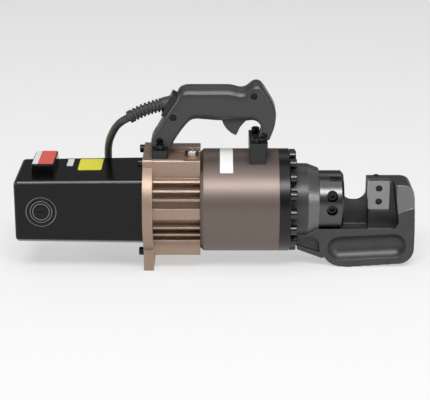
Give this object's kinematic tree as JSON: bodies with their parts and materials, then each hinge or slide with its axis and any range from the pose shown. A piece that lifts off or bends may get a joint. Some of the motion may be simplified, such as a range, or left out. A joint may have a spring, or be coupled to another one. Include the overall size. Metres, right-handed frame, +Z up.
{
  "type": "electric rebar cutter",
  "caption": "Hand-held electric hydraulic rebar cutter with finned pump housing, open-sided cutter head, sliding cutting block and D-shaped handle with trigger.",
  "frame": {"origin": "middle of the tool's length and width, on the surface that its flange foot and head rest on", "axes": "+X along the tool towards the cutter head's nose, +Y towards the side away from the open side of the head, +Z up"},
  "size_m": [0.486, 0.2744, 0.2297],
  "materials": {
    "motor_housing": "gloss",
    "top_box": "gloss",
    "brush_caps": "satin",
    "brass_parts": "satin",
    "carbon": "matt",
    "spring_steel": "bright",
    "bearing_steel": "ground",
    "lamination_steel": "laminated",
    "copper_winding": "enamelled",
    "gear_steel": "ground",
    "commutator_copper": "turned",
    "fan_plastic": "moulded",
    "bronze_casting": "bronze-painted sand casting",
    "black_steel": "black oxide",
    "chrome_plug": "polished",
    "copper_washer": "flat",
    "pump_block_iron": "machined",
    "cylinder_paint": "metallic taupe",
    "piston_steel": "turned",
    "seal_rubber": "matt",
    "ring_black": "gloss black",
    "bolt_steel": "black oxide",
    "head_forging": "black forged",
    "block_steel": "hardened",
    "bracket_black": "satin black",
    "handle_plastic": "fine grain",
    "trigger_plastic": "satin",
    "boot_rubber": "matt",
    "cord_rubber": "satin"
  },
  "bodies": {
    "casing": {"motor_housing": "motor_housing", "top_box": "top_box", "brush_caps": "brush_caps", "brush_holders": "brass_parts", "carbon_brushes": "carbon", "brush_springs": "spring_steel", "rear_bearing": "bearing_steel", "front_bearing": "bearing_steel", "stator_core": "lamination_steel", "stator_coils": "copper_winding", "pump_housing": "bronze_casting", "flange_screws": "black_steel", "oil_plug": "chrome_plug", "plug_washer": "copper_washer", "shaft_bearings": "bearing_steel", "pump_block": "pump_block_iron", "pump_plunger": "gear_steel", "plunger_spring": "spring_steel", "delivery_valve": "spring_steel", "release_valve": "gear_steel", "oil_cylinder": "cylinder_paint", "rod_wiper": "seal_rubber", "front_ring": "ring_black", "ring_bolts": "bolt_steel", "cutter_head": "head_forging", "fixed_block": "block_steel", "fixed_block_screws": "black_steel", "rear_foot": "bracket_black", "front_saddle": "bracket_black", "foot_screws": "black_steel", "handle_near": "handle_plastic", "handle_far": "handle_plastic", "handle_screws": "black_steel", "trigger_pin": "bearing_steel", "trigger_spring": "spring_steel", "switch_body": "fan_plastic", "boot_collar": "bracket_black", "cord_boot": "boot_rubber", "cord_lead": "cord_rubber", "cord_coil": "cord_rubber", "cord_tail": "cord_rubber", "plug_body": "boot_rubber", "plug_pins": "brass_parts"},
    "piston": {"piston": "piston_steel", "piston_seal": "seal_rubber", "moving_block": "block_steel", "moving_block_screws": "black_steel", "return_spring": "spring_steel"},
    "armature": {"armature_shaft": "gear_steel", "armature_core": "lamination_steel", "armature_windings": "copper_winding", "commutator": "commutator_copper", "cooling_fan": "fan_plastic"},
    "eccentric": {"drive_gear": "gear_steel", "eccentric_shaft": "gear_steel", "eccentric_bearing": "bearing_steel"},
    "trigger": {"trigger": "trigger_plastic"}
  },
  "joints": [
    {"name": "piston_slide", "type": "slide", "parent": "casing", "child": "piston", "axis": [1, 0, 0], "range_m": [0, 0.03], "stiffness_N_per_m": 400, "deforming": ["return_spring"]},
    {"name": "armature_spin", "type": "hinge", "parent": "casing", "child": "armature", "pos_m": [0, 0, 0.08], "axis": [1, 0, 0], "continuous": true},
    {"name": "eccentric_spin", "type": "hinge", "parent": "casing", "child": "eccentric", "pos_m": [0, 0, 0.059], "axis": [1, 0, 0], "continuous": true},
    {"name": "trigger_pull", "type": "hinge", "parent": "casing", "child": "trigger", "pos_m": [0.035, 0, 0.191], "axis": [0, 1, 0], "range_deg": [0, 14], "stiffness_Nm_per_rad": 0.3}
  ],
  "couplings": [
    {"joint": "eccentric_spin", "follows": "armature_spin", "ratio": -0.35484}
  ]
}
